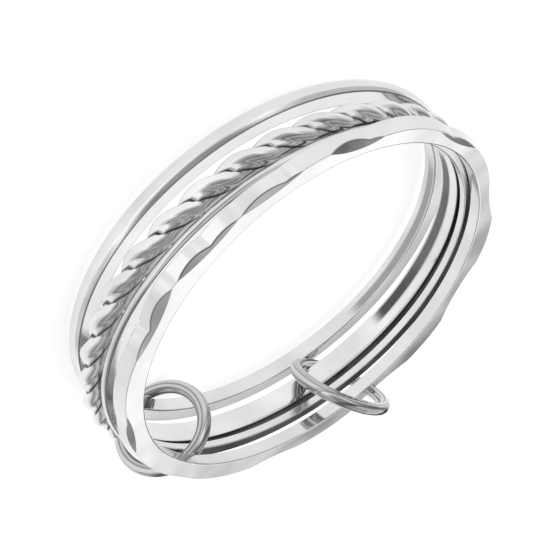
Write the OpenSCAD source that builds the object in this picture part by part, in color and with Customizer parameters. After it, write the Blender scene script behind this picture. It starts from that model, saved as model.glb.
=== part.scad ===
// Finger ring made of four loose bands, held as a stack by two round-wire links.
// The bands stand round the Z axis. Z = 0 is the rear face of the plain band,
// and azimuths run from +X towards +Y. All sizes are in millimetres and degrees.

/* [Plain band] */
// How far the band has slipped sideways, along X and Y
plain_shift = [-0.08, 0];
// Radius of the finger hole, which sets the ring size
plain_r_in = 8.55; // [8.54:0.005:8.56]
// Outer radius at the crown of the dome
plain_r_out = 9.38; // [9.35:0.01:9.38]
// Radius of the dome across the outer face
plain_dome = 0.5; // [0.42:0.01:0.6]
// Width along the finger
plain_w = 0.77; // [0.7:0.01:0.77]
// Rounding of the inner edges
plain_edge = 0.08; // [0.04:0.01:0.12]

/* [Rope band] */
// How far the band has slipped sideways, along X and Y
rope_shift = [0.1, -0.38];
// Inner radius of the plain shank
shank_r_in = 8.61; // [8.6:0.01:8.62]
// Outer radius of the plain shank
shank_r_out = 9.25; // [9.2:0.01:9.25]
// Width of the plain shank along the finger
shank_w = 1.12; // [1.1:0.01:1.12]
// Height of the middle of the shank
shank_z = 2.03; // [2.028:0.001:2.032]
// Height of the middle of the rope
rope_z = 2.09; // [2.07:0.01:2.1]
// Radius of the middle line of the rope
rope_r = 9.03; // [9.02:0.01:9.05]
// Diameter over both strands
rope_dia = 1; // [0.94:0.01:1]
// Diameter of one strand
strand_dia = 0.6; // [0.52:0.01:0.6]
// Azimuth where the rope begins
rope_from = 185.1; // [183:0.1:186]
// Number of lumps that the strands show along the rope
rope_lumps = 18; // [16:1:18]
// Azimuth that one lump covers
lump_angle = 10.4; // [10:0.1:10.4]
// Stretch at each end where the rope is soldered into the shank
rope_end_angle = 7; // [5:1:8]

/* [Thin band] */
// How far the band has slipped sideways, along X and Y
thin_shift = [0, -0.2];
// Inner radius
thin_r_in = 8.54; // [8.53:0.01:8.56]
// Outer radius at the crown of the dome
thin_r_out = 9.2; // [9.15:0.01:9.22]
// Radius of the dome across the outer face
thin_dome = 0.2; // [0.19:0.01:0.3]
// Width along the finger
thin_w = 0.37; // [0.35:0.01:0.37]
// Height of the middle of the band
thin_z = 2.89; // [2.889:0.001:2.891]
// Rounding of the inner edges
thin_edge = 0.05; // [0.02:0.01:0.08]
// Slope of the band, and the azimuth of its high side
thin_tilt = 0.55; // [0.53:0.01:0.55]
thin_high_side = 51; // [49:1:53]

/* [Hammered band] */
// How far the band has slipped sideways, along X and Y
hammered_shift = [-0.385, -0.47];
// Radius of the hole
hammered_r_in = 8.44; // [8.43:0.01:8.46]
// Width along the finger
hammered_w = 0.62; // [0.6:0.01:0.62]
// Height of the middle of the band
hammered_z = 3.835; // [3.834:0.001:3.836]
// Slope of the band, and the azimuth of its high side
hammered_tilt = 2.93; // [2.9:0.01:2.93]
hammered_high_side = 12; // [11:1:13]
// How far the outer wall spreads from the front edge to the rear edge
wall_spread = 0.2; // [0.15:0.01:0.22]
// Width of the bevel round the front of the hole
hole_bevel = 0.06; // [0.03:0.01:0.1]
// Slope of the hammer marks
mark_slope = 34; // [24:1:44]

/* [Links] */
// Diameter of the round wire
link_wire = 0.63; // [0.5:0.01:0.63]

/* [Hidden] */
$fn = 96;

// One row for each hammer mark, with the lobe that follows it
// azimuth of the mark, radius of the front edge there, radius where the mark begins on the front face,
// radius of the hammer's face, radius of the front edge at the next lobe's crown
hammer_marks = [
    [16, 9.29, 9.23, 12, 9.35],
    [52, 9.21, 9.11, 14, 9.35],
    [90, 9.09, 8.97, 14, 9.42],
    [128, 9.11, 8.97, 14, 9.38],
    [166, 9.03, 8.95, 14, 9.12],
    [201, 8.85, 8.8, 14, 9.1],
    [237, 8.89, 8.79, 7, 9.17],
    [261, 9.15, 9, 20, 9.23],
    [279, 9.15, 9.05, 14, 9.43],
    [304, 9.05, 8.98, 14, 9.28],
    [340, 9.13, 9.03, 14, 9.31]
];

// Points round a section of the rope band, and rings of points in one lump
ROPE_SIDES = 20;
RINGS_A_LUMP = 6;
SHANK_RINGS = 25;

// The shank's section by point number: share of its half depth and half width,
// a rectangle whose four corners are slightly rounded
SHANK_DEPTH = [[0, 1], [2, 1], [3, 0.92], [7, -0.92], [8, -1], [12, -1],
    [13, -0.92], [17, 0.92], [18, 1], [20, 1]];
SHANK_WIDTH = [[0, 0], [2, 0.68], [3, 0.96], [4, 1], [6, 1], [7, 0.96], [8, 0.68],
    [12, -0.68], [13, -0.96], [14, -1], [16, -1], [17, -0.96], [18, -0.68], [20, 0]];

rope_span = rope_lumps * lump_angle;
strand_off = (rope_dia - strand_dia) / 2;
shank_r = (shank_r_in + shank_r_out) / 2;
shank_half_depth = (shank_r_out - shank_r_in) / 2;

function polar(r, angle) = [r * cos(angle), r * sin(angle)];

function positive_mod(a, n) = (a % n + n) % n;

function smooth(share) = let (s = min(max(share, 0), 1)) s * s * (3 - 2 * s);

// Distance from the rope's middle to its skin, at an angle from the line through both strands
function rope_skin(angle) =
    strand_off * abs(cos(angle)) + sqrt(pow(strand_dia / 2, 2) - pow(strand_off * sin(angle), 2));

// Point i of the rope's section, as radius and height, where the strands have turned by `twist`
function rope_point(i, twist) =
    let (angle = i * 360 / ROPE_SIDES)
    [rope_r, rope_z] + polar(rope_skin(angle), angle + twist);

// The same point carried out to the shank's section
function shank_point(i, twist) =
    let (at = positive_mod(i + twist * ROPE_SIDES / 360, ROPE_SIDES))
    [shank_r + shank_half_depth * lookup(at, SHANK_DEPTH), shank_z + shank_w / 2 * lookup(at, SHANK_WIDTH)];

// Share of the rope's form at a distance along it, which fades out at both ends
function rope_share(a) = smooth(min(a, rope_span - a) / rope_end_angle);

// Rings of the rope band: azimuth, turn of the strands, share of the rope's form
function rope_rings() = concat(
    [for (j = [0 : rope_lumps * RINGS_A_LUMP])
        let (a = j * lump_angle / RINGS_A_LUMP)
        [rope_from + a, -180 * a / lump_angle, rope_share(a)]],
    [for (j = [1 : SHANK_RINGS - 1])
        [rope_from + rope_span + j * (360 - rope_span) / SHANK_RINGS, -180 * rope_lumps, 0]]);

// One round of a closed band, seen from the middle of the finger hole
module rounded_section(r_in, r_out, width, edge) {
    translate([r_in + edge, -width / 2])
        square([r_out - r_in - 2 * edge, width]);
    translate([r_in, edge - width / 2])
        square([r_out - r_in, width - 2 * edge]);
    for (r = [r_in + edge, r_out - edge], z = [-1, 1])
        translate([r, z * (width / 2 - edge)])
            circle(edge);
}

// One round of a band that is flat inside and domed outside, with rounded inner edges.
// The outer corners of the strip that it is cut from lie past the crown
module domed_section(r_in, r_crown, width, dome, edge) {
    dome_r = r_crown - dome;
    intersection() {
        rounded_section(r_in, r_crown + width, width, edge);
        union() {
            translate([r_in, -width / 2])
                square([dome_r - r_in, width]);
            translate([dome_r, 0])
                circle(dome);
        }
    }
}

// Seats a band that is drawn round its own middle: slips it sideways and
// raises the side at the azimuth `high_side`
module seated(shift, height, tilt = 0, high_side = 0) {
    translate([shift[0], shift[1], height])
        rotate(a = tilt, v = [sin(high_side), -cos(high_side), 0])
            children();
}

module plain_band() {
    color("silver")
        seated(plain_shift, plain_w / 2)
            rotate_extrude()
                domed_section(plain_r_in, plain_r_out, plain_w, plain_dome, plain_edge);
}

// Two strands twisted over the upper part, soldered at both ends to a plain flat shank
module rope_band() {
    rings = rope_rings();
    count = len(rings);
    closing_step = rope_lumps % 2 * ROPE_SIDES / 2;
    points = [for (ring = rings, i = [0 : ROPE_SIDES - 1])
        let (p = ring[2] * rope_point(i, ring[1]) + (1 - ring[2]) * shank_point(i, ring[1]),
             place = polar(p[0], ring[0]) + rope_shift)
        [place[0], place[1], p[1]]];
    function at(ring, i) =
        ring < count ? ring * ROPE_SIDES + i % ROPE_SIDES : (i + closing_step) % ROPE_SIDES;
    faces = [for (ring = [0 : count - 1], i = [0 : ROPE_SIDES - 1], half = [0, 1])
        half == 0 ? [at(ring, i), at(ring, i + 1), at(ring + 1, i + 1)]
                  : [at(ring, i), at(ring + 1, i + 1), at(ring + 1, i)]];
    color("lightgray")
        polyhedron(points, faces, convexity = 10);
}

module thin_band() {
    color("gainsboro")
        seated(thin_shift, thin_z, thin_tilt, thin_high_side)
            rotate_extrude()
                domed_section(thin_r_in, thin_r_out, thin_w, thin_dome, thin_edge);
}

// Crown between two hammer marks. Its front edge is the circle through both marks and
// the crown, and its wall spreads towards the rear edge
module lobe(mark, next_mark, next_angle) {
    half_angle = (next_angle - mark[0]) / 2;
    r_mark = (mark[1] + next_mark[1]) / 2;
    r_crown = mark[4];
    offset_r = (pow(r_crown, 2) - pow(r_mark, 2)) / (2 * (r_crown - r_mark * cos(half_angle)));
    r_front = r_crown - offset_r;
    translate(concat(polar(offset_r, mark[0] + half_angle), -hammered_w / 2))
        cylinder(r1 = r_front + wall_spread, r2 = r_front, h = hammered_w);
}

// The trough that one hammer blow leaves over the front edge, falling away outward
module hammer_mark(angle, r_begin, hammer_r) {
    trough = 4;
    rotate([0, 0, angle])
        translate([r_begin, 0, hammered_w / 2])
            rotate([0, mark_slope, 0])
                translate([-trough / 2, 0, hammer_r])
                    rotate([0, 90, 0])
                        cylinder(r = hammer_r, h = trough);
}

// Thick front band, flat in front, hammered all round its outer edge
module hammered_band() {
    marks = len(hammer_marks);
    color("whitesmoke")
        seated(hammered_shift, hammered_z, hammered_tilt, hammered_high_side)
            difference() {
                union()
                    for (i = [0 : marks - 1]) {
                        next = hammer_marks[(i + 1) % marks];
                        lobe(hammer_marks[i], next, next[0] + (i + 1 < marks ? 0 : 360));
                    }
                cylinder(r = hammered_r_in, h = 2 * hammered_w, center = true);
                translate([0, 0, hammered_w / 2 - hole_bevel])
                    cylinder(r1 = hammered_r_in, r2 = hammered_r_in + 2 * hole_bevel, h = 2 * hole_bevel);
                for (mark = hammer_marks)
                    hammer_mark(mark[0], mark[2], mark[3]);
            }
}

// Closed ring of round wire. Its middle stands at an azimuth, radius and height,
// and its axis points to the azimuth `facing` and rises by `lift`
module link(azimuth, radius, height, facing, lift, r) {
    color("silver")
        translate([radius * cos(azimuth), radius * sin(azimuth), height])
            rotate([0, 90 - lift, facing])
                rotate_extrude()
                    translate([r, 0])
                        circle(d = link_wire);
}

// Passes round the plain, rope and thin bands, and between the thin and hammered bands
module left_link()
    link(azimuth = 21.02, radius = 8.734, height = 1.606, facing = 87.2, lift = 5.8, r = 1.987);

// Passes round the rope, thin and hammered bands, and between the plain and rope bands
module right_link()
    link(azimuth = 83.2, radius = 8.226, height = 3.227, facing = 204, lift = -17.26, r = 2.218);

plain_band();
rope_band();
thin_band();
hammered_band();
left_link();
right_link();
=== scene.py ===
import math

import bmesh
import bpy
from mathutils import Euler, Matrix, Vector


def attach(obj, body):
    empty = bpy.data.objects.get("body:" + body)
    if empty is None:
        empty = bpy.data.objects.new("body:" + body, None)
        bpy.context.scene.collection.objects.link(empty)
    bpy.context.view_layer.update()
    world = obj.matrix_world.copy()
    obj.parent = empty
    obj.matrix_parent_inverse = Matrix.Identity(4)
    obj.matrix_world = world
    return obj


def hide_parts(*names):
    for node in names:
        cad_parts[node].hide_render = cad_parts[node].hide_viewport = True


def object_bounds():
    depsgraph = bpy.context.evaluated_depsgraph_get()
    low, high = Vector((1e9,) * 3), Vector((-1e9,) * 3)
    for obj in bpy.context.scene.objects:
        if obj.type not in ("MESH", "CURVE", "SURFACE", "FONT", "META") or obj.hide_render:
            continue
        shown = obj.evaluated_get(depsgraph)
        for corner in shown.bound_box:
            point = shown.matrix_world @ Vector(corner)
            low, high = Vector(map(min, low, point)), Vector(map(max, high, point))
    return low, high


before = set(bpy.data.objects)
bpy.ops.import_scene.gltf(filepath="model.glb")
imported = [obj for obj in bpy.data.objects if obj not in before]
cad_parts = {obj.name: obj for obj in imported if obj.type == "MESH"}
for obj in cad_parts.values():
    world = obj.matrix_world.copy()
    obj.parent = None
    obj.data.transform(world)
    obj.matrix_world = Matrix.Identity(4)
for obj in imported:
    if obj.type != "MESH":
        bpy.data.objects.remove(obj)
cad_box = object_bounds()

# Plain band. The real piece is a strip of sterling silver drawn with a domed outer face,
# bent round, soldered end to end, its edges broken with a fine stone, then polished bright.
# It is the rear of the stack, and only the left link that runs round it holds it there.
MM = 0.001  # lengths are in millimetres until a piece is settled, angles in degrees
plain_shift = (-0.08, 0)  # its middle, across the finger hole
plain_r_in = 8.55
plain_r_out = 9.38
plain_dome = 0.5  # radius of the domed face
plain_w = 0.77
plain_edge = 0.08  # rounding of the inner edges
plain_colour = (0.85, 0.85, 0.855)
plain_roughness = 0.06
plain_unevenness = 0.02

# How the silver of all the pieces looks: clouds and hairlines by their number to a metre, the
# darkest cloud as a share of the colour, and the stretch of each pattern that is made use of
cloud_scale = 330
cloud_fineness = 3
cloud_shade = 0.6
wave_fineness = 1
hairline_scale = 5200
hairline_fineness = 6
hairline_stretch = (0.25, 0.75)
hairline_strength = 0.25
hairline_depth = 0.002
roughness_varies = 0.3
# The near-black colour that painted shade and painted dark reflections mix in, the stretch of the
# clouds that breaks it up a little, and how much duller it leaves the silver
painted_shade_colour = (0.05, 0.05, 0.055)
painted_shade_stretch = (0.3, 0.6)
painted_shade_cover = (0.85, 1.0)
painted_shade_dullness = 0.3
brushed_dullness = 0.2


def silver_surface(name, colour, roughness, unevenness):
    """Polished sterling: faint clouds in the colour, hairline scratches and soft unevenness.

    The piece's stored values say where shade and dark reflections are painted into its colour, and
    where it is duller.
    """
    silver = bpy.data.materials.new(name)
    silver.use_nodes = True
    nodes, links = silver.node_tree.nodes, silver.node_tree.links
    shader = nodes["Principled BSDF"]
    shader.inputs["Metallic"].default_value = 1.0
    place = nodes.new("ShaderNodeTexCoord")

    def noise(scale, fineness):
        pattern = nodes.new("ShaderNodeTexNoise")
        pattern.inputs["Scale"].default_value = scale
        pattern.inputs["Detail"].default_value = fineness
        links.new(place.outputs["Object"], pattern.inputs["Vector"])
        return pattern.outputs["Fac"]

    def stored(value_name):
        value = nodes.new("ShaderNodeAttribute")
        value.attribute_name = value_name
        return value.outputs["Fac"]

    def stretched(value, start, end, at_start, at_end):
        stretch = nodes.new("ShaderNodeMapRange")
        stretch.inputs["From Min"].default_value = start
        stretch.inputs["From Max"].default_value = end
        stretch.inputs["To Min"].default_value = at_start
        stretch.inputs["To Max"].default_value = at_end
        links.new(value, stretch.inputs["Value"])
        return stretch.outputs["Result"]

    def duller(value, dullness, before):
        added = nodes.new("ShaderNodeMath")
        added.operation = "MULTIPLY_ADD"
        added.inputs[1].default_value = dullness
        links.new(value, added.inputs[0])
        links.new(before, added.inputs[2])
        return added.outputs["Value"]

    clouds = noise(cloud_scale, cloud_fineness)
    tint = nodes.new("ShaderNodeMix")
    tint.data_type = "RGBA"
    tint.inputs["A"].default_value = (*(cloud_shade * c for c in colour), 1)
    tint.inputs["B"].default_value = (*colour, 1)
    links.new(clouds, tint.inputs["Factor"])
    # Painted shade and painted dark reflections: the stored amount mixes the colour towards near black
    darkness = nodes.new("ShaderNodeMath")
    darkness.operation = "MULTIPLY"
    links.new(stored("painted_shade"), darkness.inputs[0])
    links.new(stretched(clouds, *painted_shade_stretch, *painted_shade_cover), darkness.inputs[1])
    painted_shading = nodes.new("ShaderNodeMix")
    painted_shading.data_type = "RGBA"
    painted_shading.inputs["B"].default_value = (*painted_shade_colour, 1)
    links.new(darkness.outputs["Value"], painted_shading.inputs["Factor"])
    links.new(tint.outputs["Result"], painted_shading.inputs["A"])
    links.new(painted_shading.outputs["Result"], shader.inputs["Base Color"])

    hairlines = noise(hairline_scale, hairline_fineness)
    polish = stretched(hairlines, *hairline_stretch, roughness * (1 - roughness_varies),
                       roughness * (1 + roughness_varies))
    polish = duller(darkness.outputs["Value"], painted_shade_dullness, polish)
    polish = duller(stored("brushed"), brushed_dullness, polish)
    links.new(polish, shader.inputs["Roughness"])

    scratches = nodes.new("ShaderNodeBump")
    scratches.inputs["Strength"].default_value = hairline_strength
    scratches.inputs["Distance"].default_value = hairline_depth * MM
    links.new(hairlines, scratches.inputs["Height"])
    uneven = nodes.new("ShaderNodeBump")
    uneven.inputs["Strength"].default_value = 1
    uneven.inputs["Distance"].default_value = unevenness * MM
    links.new(noise(cloud_scale, wave_fineness), uneven.inputs["Height"])
    links.new(scratches.outputs["Normal"], uneven.inputs["Normal"])
    links.new(uneven.outputs["Normal"], shader.inputs["Normal"])
    return silver


def pick_points(piece, test):
    """Selects those points of the piece, open in edit mode, whose place passes the test."""
    bpy.ops.mesh.select_mode(type="VERT")
    bpy.ops.mesh.select_all(action="DESELECT")
    drawn = bmesh.from_edit_mesh(piece.data)
    for point in drawn.verts:
        point.select = test(point.co)
    drawn.select_flush_mode()
    bmesh.update_edit_mesh(piece.data)


def take(piece):
    """Makes the piece the only one selected, and active."""
    bpy.ops.object.select_all(action="DESELECT")
    piece.select_set(True)
    bpy.context.view_layer.objects.active = piece


def apply_all(piece):
    """Applies the modifiers of the piece, from the first to the last."""
    for modifier in list(piece.modifiers):
        bpy.ops.object.modifier_apply(modifier=modifier.name)


def settle(piece, name, place, turn=(0, 0, 0)):
    """Brings a piece drawn in millimetres round its own middle to its place in the ring."""
    piece.name = name
    piece.data.name = name
    piece.location = Vector(place) * MM
    piece.rotation_euler = turn
    piece.scale = (MM, MM, MM)
    take(piece)
    bpy.ops.object.transform_apply(location=True, rotation=True, scale=True)


def smooth_but_for(piece, angle):
    """Smooths the piece but for the creases sharper than the angle, and keeps its flats flat."""
    take(piece)
    bpy.ops.object.shade_smooth_by_angle(angle=math.radians(angle))
    flats = piece.modifiers.new("true flats", "WEIGHTED_NORMAL")
    flats.keep_sharp = True
    flats.weight = 80
    apply_all(piece)


def store(piece, value_name, values):
    """Keeps one value for each point of the piece, which its silver reads by the name."""
    layer = piece.data.attributes.new(value_name, "FLOAT", "POINT")
    layer.data.foreach_set("value", values)


def painted_shade(piece, amount):
    """Stores how much shade and dark reflection is painted into the silver at each point:
    amount(radius, azimuth, height).
    """
    store(piece, "painted_shade", [
        amount(math.hypot(x, y), math.degrees(math.atan2(y, x)) % 360, z)
        for x, y, z in (point.co for point in piece.data.vertices)])


def ramp(value, start, end):
    """Rises softly from 0 to 1 as the value passes from start to end."""
    t = min(max((value - start) / (end - start), 0), 1)
    return t * t * (3 - 2 * t)


def window(value, opens, is_open, closes, is_closed):
    """Rises softly from 0 to 1 as the value passes the first pair, and falls over the second."""
    return ramp(value, opens, is_open) * (1 - ramp(value, closes, is_closed))


# How finely a strip is drawn, the small distances that pick its points and weld them, the
# edges that are broken with the stone, and how dark the reflection painted along the outer edges is
RING_STEPS = 360
DOME_STEPS = 20
EDGE_STEPS = 6
INNER_WALL_CUTS = 10
STONED_STEPS = 4
hair = 0.01
weld_within = 0.002
crease_angle = 33
stoned_edge = 0.03
painted_edge_line_darkness = 0.8


def domed_strip_ring(name, r_in, r_crown, width, dome, edge, painted_shade_at, place, turn=(0, 0, 0)):
    """A strip, flat inside and domed outside, drawn as its section and carried once round.

    The middle of the outer side is drawn out to a tent, whose bevel from end to end is the dome.
    """
    r_side = r_crown - dome + math.sqrt(dome ** 2 - (width / 2) ** 2)
    tent = (r_crown - r_side) / (math.sqrt(2) - 1)
    nearly_all = 0.998 * math.hypot(tent, width / 2)
    bpy.ops.object.select_all(action="DESELECT")
    bpy.ops.mesh.primitive_plane_add(size=1, location=((r_in + r_side) / 2, 0, 0),
                                     rotation=(math.pi / 2, 0, 0))
    ring = bpy.context.object
    ring.scale = (r_side - r_in, width, 1)
    bpy.ops.object.transform_apply(location=True, rotation=True, scale=True)
    bpy.ops.object.mode_set(mode="EDIT")
    pick_points(ring, lambda co: co.x > (r_in + r_side) / 2)
    bpy.ops.mesh.subdivide(number_cuts=1)
    pick_points(ring, lambda co: co.x > r_side - hair and abs(co.z) < hair)
    bpy.ops.transform.translate(value=(tent, 0, 0))
    pick_points(ring, lambda co: co.x > r_side + hair)
    bpy.ops.mesh.bevel(affect="VERTICES", offset=nearly_all, segments=DOME_STEPS, profile=0.5,
                       clamp_overlap=False)
    pick_points(ring, lambda co: co.x < r_in + hair)
    bpy.ops.mesh.bevel(affect="VERTICES", offset=edge, segments=EDGE_STEPS, profile=0.5)
    pick_points(ring, lambda co: co.x < r_in + hair / 10)
    bpy.ops.mesh.subdivide(number_cuts=INNER_WALL_CUTS)
    bpy.ops.mesh.select_all(action="SELECT")
    bpy.ops.mesh.delete(type="ONLY_FACE")
    bpy.ops.mesh.select_all(action="SELECT")
    bpy.ops.mesh.spin(steps=RING_STEPS, angle=2 * math.pi, center=(0, 0, 0), axis=(0, 0, 1))
    bpy.ops.mesh.select_all(action="SELECT")
    bpy.ops.mesh.remove_doubles(threshold=weld_within)
    bpy.ops.mesh.normals_make_consistent(inside=False)
    bpy.ops.object.mode_set(mode="OBJECT")
    stoned = ring.modifiers.new("stoned edges", "BEVEL")
    stoned.width = stoned_edge
    stoned.segments = STONED_STEPS
    stoned.limit_method = "ANGLE"
    stoned.angle_limit = math.radians(crease_angle)
    apply_all(ring)
    smooth_but_for(ring, crease_angle)

    # Painted dark reflection along each outer edge, over the piece's own painted shade
    def painted_darkness(r, azimuth, z):
        from_edge = math.hypot(r - r_side, abs(z) - width / 2)
        off_line = ramp(from_edge, 0.4 * stoned_edge, 0.95 * stoned_edge)
        return max(painted_edge_line_darkness * (1 - off_line), painted_shade_at(r, azimuth, z))
    painted_shade(ring, painted_darkness)
    settle(ring, name, place, turn)
    return ring


# Where a dark reflection and shade are painted on the plain band: the azimuths and the heights over
# which the painted reflection along its inner wall darkens and clears again, and how dark it and the
# painted shade on the side facing the rope are
plain_bar_round = (98, 106, 160, 172)
plain_bar_across = (-0.12, -0.04, 0.26, 0.34)
plain_painted_bar_darkness = 0.6
plain_side_painted_shade = 0.15


def plain_painted_shade(r, azimuth, z):
    """A painted dark reflection along the inner wall, and a little painted shade on the side that faces
    the rope.
    """
    if r < plain_r_in + hair:
        return plain_painted_bar_darkness * window(azimuth, *plain_bar_round) * window(z, *plain_bar_across)
    return plain_side_painted_shade if z > plain_w / 2 - hair / 10 else 0


plain_band = domed_strip_ring("plain_band_silver", plain_r_in, plain_r_out, plain_w, plain_dome,
                              plain_edge, plain_painted_shade, (*plain_shift, plain_w / 2))
plain_band.data.materials.append(
    silver_surface("plain band silver", plain_colour, plain_roughness, plain_unevenness))
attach(plain_band, "root")
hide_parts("plain_band")

# Rope band. The real piece is two round silver wires twisted together over the upper part
# of the ring, their ends run with solder into a plain flat shank, then polished.
# It is drawn point by point from the twist, because no tool blends a twist into a flat strip.
rope_shift = (0.1, -0.38)
shank_r_in = 8.61
shank_r_out = 9.25
shank_w = 1.12
shank_z = 2.03
rope_z = 2.09
rope_r = 9.03
rope_dia = 1
strand_dia = 0.6
rope_from = 185.1
rope_lumps = 18
lump_angle = 10.4
rope_end_angle = 7
rope_colour = (0.9, 0.9, 0.905)
rope_roughness = 0.07
rope_unevenness = 0.03
rope_crease_angle = 34
ROPE_SIDES = 60
RINGS_A_LUMP = 18
SHANK_RINGS = 170

# The solder that fills the front between the strands: its height over the rope's middle, how
# it falls away past the level part, and where that part, and the solder, ends on each side
solder_rise = 0.45
solder_fall = 2.2
solder_level_to = -0.05
solder_from, solder_to = -0.4, 0.3

# The shank's section, with broken corners, in twentieths of the way round it: each row is a
# point and how far it lies out or across, as a share of half the shank's thickness or width
SHANK_POINTS = 20
SHANK_DEPTH = ((0, 1), (2, 1), (3, 0.92), (7, -0.92), (8, -1), (12, -1),
               (13, -0.92), (17, 0.92), (18, 1), (20, 1))
SHANK_WIDTH = ((0, 0), (2, 0.68), (3, 0.96), (4, 1), (6, 1), (7, 0.96), (8, 0.68),
               (12, -0.68), (13, -0.96), (14, -1), (16, -1), (17, -0.96), (18, -0.68), (20, 0))

# Where it is darker: the groove between the strands; painted shade in the pocket in front of them
# and on the shank's front, which face the thin band; and a dark reflection painted as a bar along its
# inner wall, whose azimuths count on past the first turn
groove_begins = 0.965
pocket_rise = (0.26, 0.44)
pocket_painted_shade = 0.04
shank_front = (0.44, 0.48)
shank_bar_round = (464, 470, 536, 546)
shank_bar_across = (1.56, 1.64, 2.04, 2.12)
shank_bar_depth = (0.01, 0.05)
shank_painted_bar_darkness = 0.95


def between(at, table):
    """The value at a point number, on straight lines between the table's rows."""
    for (before, low), (after, high) in zip(table, table[1:]):
        if before <= at <= after:
            return low + (high - low) * (at - before) / (after - before)


def rope_section_point(i, twist, share):
    """Point i of the section, as radius and height: the twisted strands blended into the shank."""
    angle = 2 * math.pi * i / ROPE_SIDES
    strand_r = strand_dia / 2
    strand_off = (rope_dia - strand_dia) / 2
    skin = (strand_off * abs(math.cos(angle))
            + math.sqrt(strand_r ** 2 - (strand_off * math.sin(angle)) ** 2))
    rope = Vector((rope_r + skin * math.cos(angle + twist), rope_z + skin * math.sin(angle + twist)))
    outward = rope.x - rope_r
    if rope.y > rope_z and solder_from < outward < solder_to:
        solder_z = rope_z + solder_rise - solder_fall * max(outward - solder_level_to, 0) ** 2
        rope.y = max(rope.y, solder_z)
    at = ((angle + twist) / (2 * math.pi) * SHANK_POINTS) % SHANK_POINTS
    shank_middle = (shank_r_in + shank_r_out) / 2
    half_depth = (shank_r_out - shank_r_in) / 2
    shank = Vector((shank_middle + half_depth * between(at, SHANK_DEPTH),
                    shank_z + shank_w / 2 * between(at, SHANK_WIDTH)))
    return share * rope + (1 - share) * shank


def closed_ring_mesh(name, rings):
    """A closed band from its rings of points, each joined to the next and the last to the first."""
    sides = len(rings[0])
    points = [point for ring in rings for point in ring]
    quads = [(j * sides + i, j * sides + (i + 1) % sides,
              (j + 1) % len(rings) * sides + (i + 1) % sides, (j + 1) % len(rings) * sides + i)
             for j in range(len(rings)) for i in range(sides)]
    mesh = bpy.data.meshes.new(name)
    mesh.from_pydata(points, [], quads)
    band = bpy.data.objects.new(name, mesh)
    bpy.context.scene.collection.objects.link(band)
    take(band)
    bpy.ops.object.mode_set(mode="EDIT")
    bpy.ops.mesh.select_all(action="SELECT")
    bpy.ops.mesh.normals_make_consistent(inside=False)
    bpy.ops.object.mode_set(mode="OBJECT")
    return band


rope_span = rope_lumps * lump_angle
rope_steps = [(j * lump_angle / RINGS_A_LUMP) for j in range(rope_lumps * RINGS_A_LUMP + 1)]
shank_steps = [rope_span + j * (360 - rope_span) / SHANK_RINGS for j in range(1, SHANK_RINGS)]
rope_rings = []
rope_painted_shade = []
rope_brushing = []
for along in rope_steps + shank_steps:
    twist = -math.pi * min(along, rope_span) / lump_angle
    share = ramp(min(along, rope_span - along), 0, rope_end_angle)
    turn = math.radians(rope_from + along)
    bar_here = shank_painted_bar_darkness * window(rope_from + along, *shank_bar_round)
    ring = []
    for i in range(ROPE_SIDES):
        r, z = rope_section_point(i, twist, share)
        # The groove's darkening, painted shade in the pocket and on the shank's front, and the painted
        # dark reflection in the bar
        groove = ramp(abs(math.sin(2 * math.pi * i / ROPE_SIDES)), groove_begins, 1)
        pocket = pocket_painted_shade * ramp(z - rope_z, *pocket_rise)
        front = ramp((z - shank_z) / shank_w, *shank_front)
        inside = 1 - ramp(r - shank_r_in, *shank_bar_depth)
        bar = bar_here * inside * window(z, *shank_bar_across)
        rope_painted_shade.append(share * max(groove, pocket) + (1 - share) * max(front, bar))
        rope_brushing.append(share)
        ring.append((r * math.cos(turn), r * math.sin(turn), z))
    rope_rings.append(ring)
rope_band = closed_ring_mesh("rope_band_silver", rope_rings)
smooth_but_for(rope_band, rope_crease_angle)
store(rope_band, "painted_shade", rope_painted_shade)
store(rope_band, "brushed", rope_brushing)
settle(rope_band, "rope_band_silver", (*rope_shift, 0))
rope_band.data.materials.append(
    silver_surface("rope band silver", rope_colour, rope_roughness, rope_unevenness))
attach(rope_band, "root")
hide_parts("rope_band")

# Thin band. The real piece is a narrow strip of silver with a nearly full round outer edge,
# bent round, soldered and polished. It lies loose on the rope band, and both links hold it
# in the stack.
thin_shift = (0, -0.2)
thin_r_in = 8.54
thin_r_out = 9.2
thin_dome = 0.2
thin_w = 0.37
thin_edge = 0.05
thin_z = 2.89
thin_tilt = 0.55
thin_high_side = 51
thin_colour = (0.85, 0.85, 0.855)
thin_roughness = 0.16
thin_unevenness = 0.015

# Where shade is painted on the thin band: the side that faces the hammered band, least on the near
# side of the ring and most on the far side, and the lower part of its outside
thin_side_painted_shade = (0.05, 1)
thin_side_darkens = (0.0, 0.4)
thin_outside_painted_shade = 0.15
thin_outside_from = (9.0, 9.05)
thin_outside_up_to = (-0.02, 0.12)


def tilted(tilt, high_side):
    """The turn that raises the side of a level band at the azimuth high_side, in degrees."""
    side = math.radians(high_side)
    turn = Matrix.Rotation(math.radians(tilt), 3, Vector((math.sin(side), -math.cos(side), 0)))
    return turn.to_euler()


def thin_painted_shade(r, azimuth, z):
    """Painted shade on the side that faces the hammered band, most across the ring, and a little low on
    the outside.
    """
    if z > thin_w / 2 - hair / 10:
        least, most = thin_side_painted_shade
        across = ramp(math.sin(math.radians(azimuth)), *thin_side_darkens)
        return least + (most - least) * across
    return thin_outside_painted_shade * ramp(r, *thin_outside_from) * (1 - ramp(z, *thin_outside_up_to))


thin_band = domed_strip_ring("thin_band_silver", thin_r_in, thin_r_out, thin_w, thin_dome, thin_edge,
                             thin_painted_shade, (*thin_shift, thin_z),
                             tilted(thin_tilt, thin_high_side))
thin_band.data.materials.append(
    silver_surface("thin band silver", thin_colour, thin_roughness, thin_unevenness))
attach(thin_band, "root")
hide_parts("thin_band")

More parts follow.
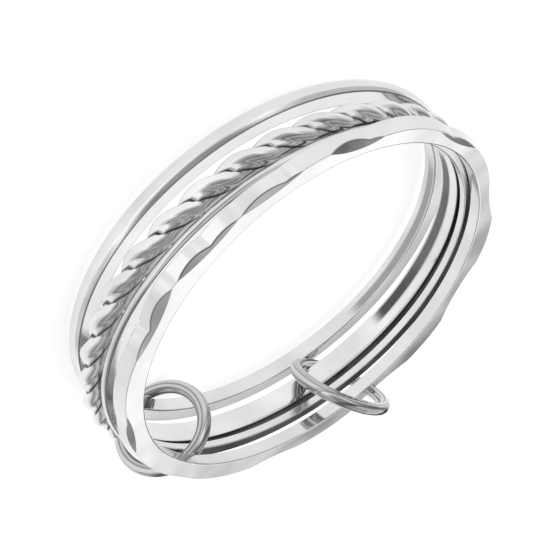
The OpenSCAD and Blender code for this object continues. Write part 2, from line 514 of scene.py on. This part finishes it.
# Hammered band. The real piece is a heavier strip of silver, flat in front, whose outer edge
# was struck all round with a round-faced hammer, so that it runs in lobes with a facet
# between each two, then polished. It is drawn point by point, because the blows set it.
hammered_shift = (-0.385, -0.47)
hammered_r_in = 8.44
hammered_w = 0.62
hammered_z = 3.835
hammered_tilt = 2.93
hammered_high_side = 12
wall_spread = 0.2
hole_bevel = 0.06
outer_rounding = 0.04
mark_slope = math.radians(34)
mark_reach = math.radians(20)
least_facet = 0.01
unstruck_crease = 0.02
hammered_colour = (0.85, 0.85, 0.855)
hammered_roughness = 0.06
hammered_unevenness = 0.05
hammered_crease_angle = 20
HAMMERED_STEPS = 720
ROUNDING_STEPS = 8
EDGE_ROUNDS = 8

# The painted dark lines: a dark reflection painted along each outer edge, and painted shade where a
# facet begins, which reaches crease_line to each side and is darker where the blow cuts deeper
painted_corner_line_darkness = 0.5
crease_line = 0.014
painted_crease_darkness = 0.85
crease_line_cut = (0.004, 0.03)

# One row for each blow, with the lobe that follows it: azimuth of the mark, radius of the
# front edge there, radius where the mark begins on the front face, radius of the hammer's
# face, radius of the front edge at the next lobe's crown
hammer_marks = (
    (16, 9.29, 9.23, 12, 9.35),
    (52, 9.21, 9.11, 14, 9.35),
    (90, 9.09, 8.97, 14, 9.42),
    (128, 9.11, 8.97, 14, 9.38),
    (166, 9.03, 8.95, 14, 9.12),
    (201, 8.85, 8.8, 14, 9.1),
    (237, 8.89, 8.79, 7, 9.17),
    (261, 9.15, 9, 20, 9.23),
    (279, 9.15, 9.05, 14, 9.43),
    (304, 9.05, 8.98, 14, 9.28),
    (340, 9.13, 9.03, 14, 9.31),
)


def lobe_circles():
    """The circle through each pair of marks and the crown between them: azimuth, offset, radius."""
    circles = []
    for this_blow, next_blow in zip(hammer_marks, hammer_marks[1:] + hammer_marks[:1]):
        mark, r_edge, _, _, crown = this_blow
        half = ((next_blow[0] - mark) % 360) / 2
        r_mark = (r_edge + next_blow[1]) / 2
        offset = (crown ** 2 - r_mark ** 2) / (2 * (crown - r_mark * math.cos(math.radians(half))))
        circles.append((mark + half, offset, crown - offset))
    return circles


def lobed_wall(azimuth, spread):
    """Radius of the outer wall at an azimuth, where it has spread so far past the front edge."""
    reach = 0
    for middle, offset, radius in crown_circles:
        turn = math.radians(azimuth - middle)
        half_chord = (radius + spread) ** 2 - (offset * math.sin(turn)) ** 2
        if half_chord > 0:
            reach = max(reach, offset * math.cos(turn) + math.sqrt(half_chord))
    return reach


def hammer_rise(aside, hammer_r):
    """How much less the hammer's round face cuts at a distance aside of its middle."""
    return (hammer_r - math.sqrt(hammer_r ** 2 - aside ** 2)) / math.cos(mark_slope)


def struck_edge(azimuth):
    """Radius where the facet of a blow begins, and radius and height of the front edge.

    The edge and the wall depend on each other, so each is worked out from the other in rounds.
    """
    half_w = hammered_w / 2
    front = lobed_wall(azimuth, 0)
    begins, edge, height = front - unstruck_crease, front, half_w
    for mark, _, r_begin, hammer_r, _ in hammer_marks:
        turn = math.radians((azimuth - mark + 180) % 360 - 180)
        if abs(turn) > mark_reach:
            continue
        r_edge, z_edge, r_start = front, half_w, front
        for _ in range(EDGE_ROUNDS):
            cut = (r_edge * math.cos(turn) - r_begin) * math.tan(mark_slope)
            z_edge = half_w - cut + hammer_rise(r_edge * math.sin(turn), hammer_r)
            r_edge = lobed_wall(azimuth, wall_spread * (half_w - min(z_edge, half_w)) / hammered_w)
            rise = hammer_rise(r_start * math.sin(turn), hammer_r)
            r_start = (r_begin + rise / math.tan(mark_slope)) / math.cos(turn)
        if z_edge < height:
            begins, edge, height = min(r_start, r_edge - least_facet), r_edge, z_edge
    return begins, edge, height


def rounded_corner(before, corner, after, rounding):
    """Points of a rounded corner of a section, between its two neighbours."""
    towards, onwards = before - corner, after - corner
    start = corner + towards.normalized() * min(rounding, towards.length / 2)
    end = corner + onwards.normalized() * min(rounding, onwards.length / 2)
    points = []
    for step in range(ROUNDING_STEPS + 1):
        t = step / ROUNDING_STEPS
        points.append((1 - t) ** 2 * start + 2 * t * (1 - t) * corner + t ** 2 * end)
    return points


crown_circles = lobe_circles()
bright_corner = [0] * (ROUNDING_STEPS + 1)
painted_line_corner = [painted_corner_line_darkness * math.sin(math.pi * i / ROUNDING_STEPS) ** 2
                for i in range(ROUNDING_STEPS + 1)]
hammered_rings = []
hammered_painted_shade = []
for step in range(HAMMERED_STEPS):
    azimuth = step * 360 / HAMMERED_STEPS
    begins, edge, height = struck_edge(azimuth)
    half_w = hammered_w / 2
    inner_rear = Vector((hammered_r_in, -half_w))
    outer_rear = Vector((lobed_wall(azimuth, wall_spread), -half_w))
    outer_front = Vector((edge, height))
    facet = Vector((begins, half_w))
    inner_front = Vector((hammered_r_in, half_w))
    section = rounded_corner(inner_front, inner_rear, outer_rear, hole_bevel)
    section += rounded_corner(inner_rear, outer_rear, outer_front, outer_rounding)
    section += rounded_corner(outer_rear, outer_front, facet, outer_rounding)
    down = outer_front - facet
    beside = down.normalized() * min(crease_line, down.length / 3)
    section += [facet + beside, facet, facet - Vector((crease_line, 0))]
    section += rounded_corner(facet, inner_front, inner_rear, hole_bevel)
    # Painted shade in the crease where the facet begins, darker where the blow cuts deeper
    struck = painted_crease_darkness * ramp(half_w - height, *crease_line_cut)
    hammered_painted_shade += bright_corner + painted_line_corner + painted_line_corner + [0, struck, 0] + bright_corner
    turn = math.radians(azimuth)
    hammered_rings.append([(r * math.cos(turn), r * math.sin(turn), z) for r, z in section])
hammered_band = closed_ring_mesh("hammered_band_silver", hammered_rings)
smooth_but_for(hammered_band, hammered_crease_angle)
store(hammered_band, "painted_shade", hammered_painted_shade)
settle(hammered_band, "hammered_band_silver", (*hammered_shift, hammered_z),
       tilted(hammered_tilt, hammered_high_side))
hammered_band.data.materials.append(
    silver_surface("hammered band silver", hammered_colour, hammered_roughness, hammered_unevenness))
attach(hammered_band, "root")
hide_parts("hammered_band")

# Links. The real pieces are two lengths of round silver wire, each bent into a ring round
# some of the bands, closed with hard solder, whose seam stands a hair proud, and polished.
link_wire = 0.622  # a hair finer than the CAD wire, whose box is measured on a coarser mesh
seam_half_width = 0.05
seam_stands = 0.012
# The links' silver is given a darker colour than the bands', as painted shade
link_shaded_colour = (0.7, 0.7, 0.705)
link_roughness = 0.07
link_unevenness = 0.02
LINK_STEPS = 240
WIRE_SIDES = 90

# One row for each dark reflection painted along the wire: degrees round the wire, how far it
# spreads to each side, how dark it is
painted_reflection_lines = (
    (-165, 16, 0.5),
    (-118, 12, 0.45),
    (-84, 14, 0.6),
    (-30, 20, 0.4),
    (-8, 8, 0.6),
    (38, 12, 0.55),
    (62, 16, 0.35),
    (104, 14, 0.6),
    (140, 12, 0.4),
)
painted_line_core = 2


def wire_link(name, azimuth, radius, height, facing, lift, r, seam):
    """A ring of round wire, its axis pointing to the azimuth facing and rising by lift.

    Its middle lies at an azimuth, radius and height of the stack. The ring's own radius is r,
    and its seam lies at so many degrees round it.
    """
    side = math.radians(azimuth)
    turn = (Matrix.Rotation(math.radians(facing), 3, "Z")
            @ Matrix.Rotation(math.radians(90 - lift), 3, "Y"))
    bpy.ops.object.select_all(action="DESELECT")
    bpy.ops.mesh.primitive_torus_add(major_segments=LINK_STEPS, minor_segments=WIRE_SIDES,
                                     major_radius=r, minor_radius=link_wire / 2)
    link = bpy.context.object
    bpy.ops.object.mode_set(mode="EDIT")
    along = Vector((math.cos(math.radians(seam)), math.sin(math.radians(seam)), 0))
    across = Vector((-along.y, along.x, 0))
    pick_points(link, lambda co: co.dot(along) > 0 and abs(co.dot(across)) < seam_half_width)
    bpy.ops.transform.shrink_fatten(value=seam_stands)
    bpy.ops.mesh.select_all(action="DESELECT")
    bpy.ops.object.mode_set(mode="OBJECT")
    bpy.ops.object.shade_smooth()

    # Dark reflections painted in lines along the wire
    def painted_lines_at(ring_r, azimuth, z):
        around = math.degrees(math.atan2(z, ring_r - r))
        return max(depth * (1 - ramp(abs((around - line + 180) % 360 - 180), painted_line_core, spread))
                   for line, spread, depth in painted_reflection_lines)
    painted_shade(link, painted_lines_at)
    settle(link, name, (radius * math.cos(side), radius * math.sin(side), height), turn.to_euler())
    return link


link_silver = silver_surface("link silver", link_shaded_colour, link_roughness, link_unevenness)
left_link = wire_link("left_link_wire", azimuth=21.02, radius=8.734, height=1.606,
                      facing=87.2, lift=5.8, r=1.987, seam=200)
right_link = wire_link("right_link_wire", azimuth=83.2, radius=8.226, height=3.227,
                       facing=204, lift=-17.26, r=2.218, seam=160)
for link, node in ((left_link, "left_link"), (right_link, "right_link")):
    link.data.materials.append(link_silver)
    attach(link, "root")
    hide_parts(node)

# Studio. The floor is a sheet of white acrylic lit from below, under a soft white tent that is
# open overhead, where the room is grey, and darker low down behind the ring. Those dimmer
# places draw the silver's edges, and the lit floor leaves only a faint shadow.
floor_side = 1.2  # the studio's own sizes are in metres
floor_grey = 0.3
floor_glow = 0.76
tent_brightness = 1.4

bpy.ops.object.select_all(action="DESELECT")
bpy.ops.mesh.primitive_plane_add(size=floor_side, location=(0, 0, cad_box[0].z))
floor = bpy.context.object
floor.name = "floor"
acrylic = bpy.data.materials.new("lit white acrylic")
acrylic.use_nodes = True
acrylic_shader = acrylic.node_tree.nodes["Principled BSDF"]
acrylic_shader.inputs["Base Color"].default_value = (floor_grey, floor_grey, floor_grey, 1)
acrylic_shader.inputs["Roughness"].default_value = 0.9
acrylic_shader.inputs["Specular IOR Level"].default_value = 0
acrylic_shader.inputs["Emission Color"].default_value = (1, 1, 1, 1)
acrylic_shader.inputs["Emission Strength"].default_value = floor_glow
floor.data.materials.append(acrylic)

world = bpy.data.worlds.new("soft tent")
bpy.context.scene.world = world
world.use_nodes = True
sky, wires = world.node_tree.nodes, world.node_tree.links
tent = sky["Background"]
tent.inputs["Color"].default_value = (1, 1, 1, 1)
way = sky.new("ShaderNodeTexCoord")


def fading(value, start, end, at_start, at_end):
    """Brightness that runs softly from one value to another as the input passes a stretch."""
    fade = sky.new("ShaderNodeMapRange")
    fade.interpolation_type = "SMOOTHSTEP"
    fade.inputs["From Min"].default_value = start
    fade.inputs["From Max"].default_value = end
    fade.inputs["To Min"].default_value = at_start
    fade.inputs["To Max"].default_value = at_end
    wires.new(value, fade.inputs["Value"])
    return fade.outputs["Result"]


def facing_to(x, y, z):
    """How closely a direction of the sky agrees with another, from -1 to 1."""
    agree = sky.new("ShaderNodeVectorMath")
    agree.operation = "DOT_PRODUCT"
    agree.inputs[1].default_value = Vector((x, y, z)).normalized()
    wires.new(way.outputs["Generated"], agree.inputs[0])
    return agree.outputs["Value"]


def joined(operation, *lights):
    """Two or more brightnesses combined by an operation, from the first to the last."""
    whole = lights[0]
    for light in lights[1:]:
        step = sky.new("ShaderNodeMath")
        step.operation = operation
        wires.new(whole, step.inputs[0])
        wires.new(light, step.inputs[1])
        whole = step.outputs["Value"]
    return whole


def scaled(value, factor):
    """A brightness times a fixed factor."""
    product = sky.new("ShaderNodeMath")
    product.operation = "MULTIPLY"
    product.inputs[1].default_value = factor
    wires.new(value, product.inputs[0])
    return product.outputs["Value"]


# The tent's wall ends at the dim rim of the opening, with the grey ceiling of the room in its
# middle and a white panel at its back. The low part is dark only behind the ring, and the
# lens side and the two ends are dimmer than the rest.
overhead = facing_to(0, 0.457, 0.889)
tent_wall = fading(overhead, 0.38, 0.5, 1.0, 0.3)
ceiling = fading(overhead, 0.60, 0.72, 0.0, 0.62)
back_panel = fading(facing_to(0, 0.80, 0.60), 0.90, 0.955, 0.0, 1.0)
above = joined("MAXIMUM", tent_wall, ceiling, back_panel)
above_low_part = fading(facing_to(0, 0, 1), 0.34, 0.52, 0.1, 1.0)
not_behind = fading(facing_to(0, 1, 0), 0.82, 0.95, 1.0, 0.0)
low_part = joined("MAXIMUM", above_low_part, not_behind)
lens_side = fading(facing_to(0, -0.70, 0.71), 0.74, 0.95, 1.0, 0.3)
left_end = fading(facing_to(-0.9, 0, 0.45), 0.70, 0.97, 1.0, 0.5)
right_end = fading(facing_to(0.9, 0, 0.45), 0.70, 0.97, 1.0, 0.6)
folds = sky.new("ShaderNodeTexNoise")
folds.inputs["Scale"].default_value = 2.6
folds.inputs["Detail"].default_value = 2
wires.new(way.outputs["Generated"], folds.inputs["Vector"])
cloth = fading(folds.outputs["Fac"], 0.38, 0.58, 0.78, 1.0)
tent_light = joined("MULTIPLY", above, low_part, lens_side, left_end, right_end, cloth)
wires.new(scaled(tent_light, tent_brightness), tent.inputs["Strength"])

lamp_data = bpy.data.lights.new("top lamp", "AREA")
lamp_data.shape = "DISK"
lamp_data.size = 0.42
lamp_data.energy = 1.6
lamp = bpy.data.objects.new("top lamp", lamp_data)
lamp.location = Vector((-0.12, -0.16, 0.36))
lamp.rotation_euler = (-lamp.location).to_track_quat("-Z", "Y").to_euler()
lamp.visible_glossy = False
bpy.context.scene.collection.objects.link(lamp)

# The camera stands where the photograph's outlines of the bands put it.
camera_place = (0.2077, -45.5179, 27.5019)
camera_turn = (-52.7935, -33.2887, 157.5708)
camera_data = bpy.data.cameras.new("camera")
camera_data.sensor_width = 36
camera_data.lens = 82.444
camera_data.clip_start = 0.001
camera_data.clip_end = 10
camera = bpy.data.objects.new("camera", camera_data)
camera.location = Vector(camera_place) * MM
camera.rotation_euler = Euler([math.radians(turn) for turn in camera_turn])
bpy.context.scene.collection.objects.link(camera)
bpy.context.scene.camera = camera

bpy.context.scene.view_settings.view_transform = "Standard"
